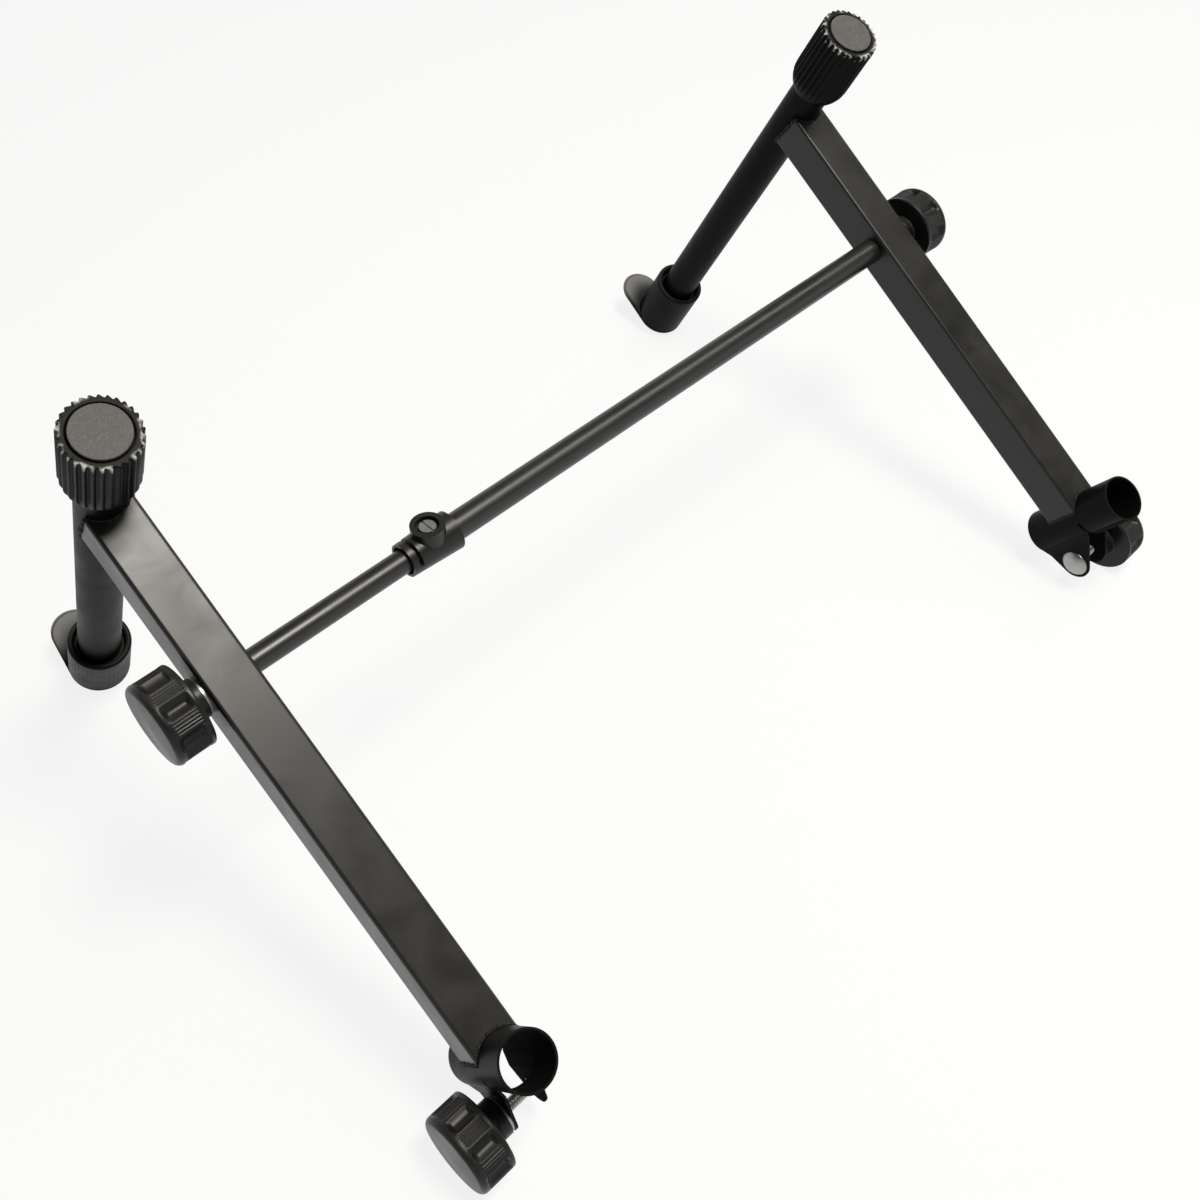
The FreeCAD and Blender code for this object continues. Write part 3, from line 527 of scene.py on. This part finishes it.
def finish(name, colour, rub_colour, rough, grain, streaks=0.1, cloud=30.0, dust=0.1, metallic=0.0,
           specular=0.3, worn=None, speckle=None, bored=False):
    """Material: a base colour rubbed towards another, a film of dust, clouded roughness and a fine grain.

    rough is (low, high) and grain is (scale, height). worn is a colour laid on in flakes by the mesh's worn
    attribute; with it, the rubbed colour, which on the tongues is also a painted reflection, is laid on evenly
    by the pale attribute. speckle is the colour of pale specks. A bored finish is dull inside the clamp sleeves.
    """
    made = bpy.data.materials.new(name)
    made.use_nodes = True
    tree = made.node_tree
    surface = tree.nodes["Principled BSDF"]
    skin = put(tree, "ShaderNodeGroup", {"Scale": grain[0], "Height": grain[1]}, node_tree=grain_tree).outputs
    settings = {"Scale": cloud, "Low": rough[0], "High": rough[1], "Streaks": streaks, "Dust": dust}
    marks = put(tree, "ShaderNodeGroup", settings, node_tree=patch_tree).outputs
    tint = blend(tree, marks["Rub"], colour, rub_colour)
    if worn:
        scuff = put(tree, "ShaderNodeAttribute", attribute_name="worn").outputs["Fac"]
        flake = reckon(tree, "MULTIPLY", reckon(tree, "MULTIPLY", scuff, marks["Patch"]), skin["Grain"])
        tint = blend(tree, remap(tree, flake, 0.06, 0.34), tint, worn)
        # Pale colour laid on by the pale attribute: rubbed rubber and a painted reflection on the lip caps'
        # tongues
        even = put(tree, "ShaderNodeAttribute", attribute_name="pale").outputs["Fac"]
        tint = blend(tree, even, tint, RUB_AND_REFLECTION_TINT)
    if speckle:
        tint = blend(tree, remap(tree, skin["Grain"], 0.54, 0.72), tint, speckle)
    tint = blend(tree, marks["Film"], tint, DUST)
    sheen = marks["Cloud"]
    if bored:
        sheen = put(tree, "ShaderNodeGroup", {"Roughness": sheen}, node_tree=bore_tree).outputs["Roughness"]
    tree.links.new(tint, surface.inputs["Base Color"])
    tree.links.new(sheen, surface.inputs["Roughness"])
    tree.links.new(skin["Normal"], surface.inputs["Normal"])
    surface.inputs["Metallic"].default_value = metallic
    surface.inputs["Specular IOR Level"].default_value = specular
    return made


COAT_RUB = (0.03, 0.03, 0.028)
FINISHES = {
    "powder_coat": dict(
        colour=(0.0045, 0.005, 0.0047), rub_colour=COAT_RUB, rough=(0.30, 0.40), grain=(700.0, 0.00001),
        streaks=0.06, dust=0.14, specular=0.38),
    "tube_coat": dict(
        colour=(0.0042, 0.0047, 0.0044), rub_colour=COAT_RUB, rough=(0.38, 0.48), grain=(700.0, 0.00001),
        streaks=0.06, dust=0.05, specular=0.05, bored=True),
    "rod_coat": dict(
        colour=(0.006, 0.006, 0.0055), rub_colour=COAT_RUB, rough=(0.33, 0.39), grain=(900.0, 0.000002),
        dust=0.06, specular=0.6),
    "cap_rubber": dict(
        colour=(0.0045, 0.005, 0.005), rub_colour=(0.04, 0.04, 0.04), rough=(0.34, 0.5),
        grain=(1400.0, 0.00003), streaks=0.3, dust=0.1, specular=0.06, worn=(0.5, 0.5, 0.48)),
    "plug_plastic": dict(
        colour=(0.045, 0.045, 0.044), rub_colour=(0.16, 0.16, 0.155), rough=(0.5, 0.65),
        grain=(1300.0, 0.00006), streaks=0.2, cloud=160.0, dust=0.3, specular=0.35,
        speckle=(0.15, 0.15, 0.146)),
    "knob_plastic": dict(
        colour=(0.006, 0.0065, 0.0065), rub_colour=(0.03, 0.03, 0.03), rough=(0.30, 0.42),
        grain=(1800.0, 0.00003), dust=0.08, specular=0.25),
    "collar_plastic": dict(
        colour=(0.007, 0.0072, 0.007), rub_colour=(0.04, 0.04, 0.04), rough=(0.30, 0.42),
        grain=(1600.0, 0.00003), dust=0.1, specular=0.35),
    "zinc_steel": dict(
        colour=(0.36, 0.37, 0.355), rub_colour=(0.28, 0.28, 0.27), rough=(0.28, 0.45),
        grain=(1500.0, 0.00001), streaks=0.5, cloud=90.0, dust=0.0, metallic=1.0, specular=0.5),
    "zinc_dull": dict(
        colour=(0.34, 0.34, 0.325), rub_colour=(0.22, 0.22, 0.21), rough=(0.5, 0.65),
        grain=(1500.0, 0.00002), streaks=0.5, cloud=90.0, dust=0.0, metallic=1.0, specular=0.5),
    "insert_brass": dict(
        colour=(0.6, 0.45, 0.2), rub_colour=(0.4, 0.3, 0.14), rough=(0.25, 0.4),
        grain=(1500.0, 0.00001), dust=0.0, metallic=1.0, specular=0.5),
    "weld": dict(
        colour=(0.004, 0.0042, 0.004), rub_colour=(0.02, 0.02, 0.02), rough=(0.4, 0.6),
        grain=(500.0, 0.0002), specular=0.2),
}
finishes = {name: finish(name, **look) for name, look in FINISHES.items()}

# Solids with a duller skin than the rest of their material, by their name without its first word
DULLER = {"support_tube": "tube_coat", "clamp_sleeve": "tube_coat", "screw": "zinc_dull"}
for node, solid in frame["nodes"].items():
    kind = node.split("_", 1)[1]
    solid.data.materials.clear()
    solid.data.materials.append(finishes[DULLER.get(kind, slot_of_node[node])])

for side_name in SIDES:
    ribbed_cap(side_name)
    lip_cap(side_name)
    clamp_bolt(side_name)
    for joined, weld_seed in WELD_SEEDS[side_name].items():
        weld_bead(side_name, joined, weld_seed)
    for spot_name, hub_length in HUB_LENGTHS.items():
        knob(f"{side_name}_{spot_name}", hub_length)


# Floor, light and camera

# In metres: reach of the flat floor, radius of the sweep at its edge, height of the wall, gap below the feet
FLOOR_REACH = 40
FLOOR_SWEEP = 8
WALL_HEIGHT = 20
FLOOR_GAP = 0.0004

# Share of plain white in the floor's look; the rest keeps the shadow
FLOOR_WHITE = 0.85


def floor():
    """Pale floor that sweeps up into a far wall: a flat disc, a quarter arc and a line, turned about Z.

    It shows as white to the eye and in reflections, with part of the shadow kept.
    """
    sweep = arc((FLOOR_REACH, FLOOR_SWEEP), FLOOR_SWEEP, -90, 0, 16)
    profile = np.vstack([sweep, [(FLOOR_REACH + FLOOR_SWEEP, WALL_HEIGHT)]])
    points = round_mesh(profile[:, :1], profile[:, 1:], full_turn(96, backward=True))
    faces, index = grid_faces(points.shape)
    mesh = bpy.data.meshes.new("floor")
    mesh.from_pydata(points.reshape(-1, 3).tolist(), [], faces + [index[0][::-1].tolist()])
    ground = bpy.data.objects.new("floor", mesh)
    ground.location.z = -FLOOR_GAP
    bpy.context.scene.collection.objects.link(ground)
    pale = bpy.data.materials.new("pale_floor")
    pale.use_nodes = True
    tree = pale.node_tree
    surface = tree.nodes["Principled BSDF"]
    surface.inputs["Base Color"].default_value = (0.9, 0.9, 0.9, 1)
    surface.inputs["Roughness"].default_value = 0.9
    surface.inputs["Specular IOR Level"].default_value = 0.0
    path = put(tree, "ShaderNodeLightPath").outputs
    seen = reckon(tree, "MAXIMUM", path["Is Camera Ray"], path["Is Glossy Ray"])
    seen = reckon(tree, "MAXIMUM", seen, path["Is Transmission Ray"])
    share = reckon(tree, "MULTIPLY", seen, FLOOR_WHITE)
    white = put(tree, "ShaderNodeEmission", {"Color": (1, 1, 1, 1), "Strength": 1.0})
    mixed = put(tree, "ShaderNodeMixShader", {0: share, 1: surface.outputs["BSDF"],
                                              2: white.outputs["Emission"]})
    tree.links.new(mixed.outputs["Shader"], tree.nodes["Material Output"].inputs["Surface"])
    mesh.materials.append(pale)


def area_light(name, spot, aim, power, width, depth, colour):
    """Rectangular lamp at a spot, facing an aim point."""
    lamp = bpy.data.lights.new(name, "AREA")
    lamp.shape = "RECTANGLE"
    lamp.energy, lamp.size, lamp.size_y, lamp.color = power, width, depth, colour
    holder = bpy.data.objects.new(name, lamp)
    holder.location = spot
    holder.rotation_euler = (Vector(aim) - Vector(spot)).to_track_quat("-Z", "Y").to_euler()
    bpy.context.scene.collection.objects.link(holder)


floor()
area_light("key", (0.18, -0.72, 2.3), (-0.1, 0.0, 0.15), 46.0, 0.6, 0.6, (1.0, 0.95, 0.88))
area_light("long_strip", (1.35, -0.3, 2.1), (1.35, -0.3, 0.0), 17.0, 1.9, 0.5, (1.0, 0.97, 0.93))

scene = bpy.context.scene
scene.world = bpy.data.worlds.new("room")
scene.world.use_nodes = True
sky = scene.world.node_tree.nodes["Background"]
sky.inputs["Color"].default_value = (0.92, 1.0, 0.97, 1)
sky.inputs["Strength"].default_value = 0.1

# Camera fitted to the outline in the photograph
eye = bpy.data.cameras.new("photo_view")
eye.sensor_width = 36.0
eye.lens = 41.4
eye.shift_x = -0.0237
eye.shift_y = -0.0521
eye.clip_start = 0.05
camera = bpy.data.objects.new("photo_view", eye)
camera.matrix_world = Matrix(((0.703224, 0.511716, -0.493582, -0.49925),
                              (-0.710882, 0.516911, -0.476917, -0.5126),
                              (0.011092, 0.686258, 0.727274, 0.85312),
                              (0, 0, 0, 1)))
scene.collection.objects.link(camera)
scene.camera = camera
scene.view_settings.view_transform = "Standard"
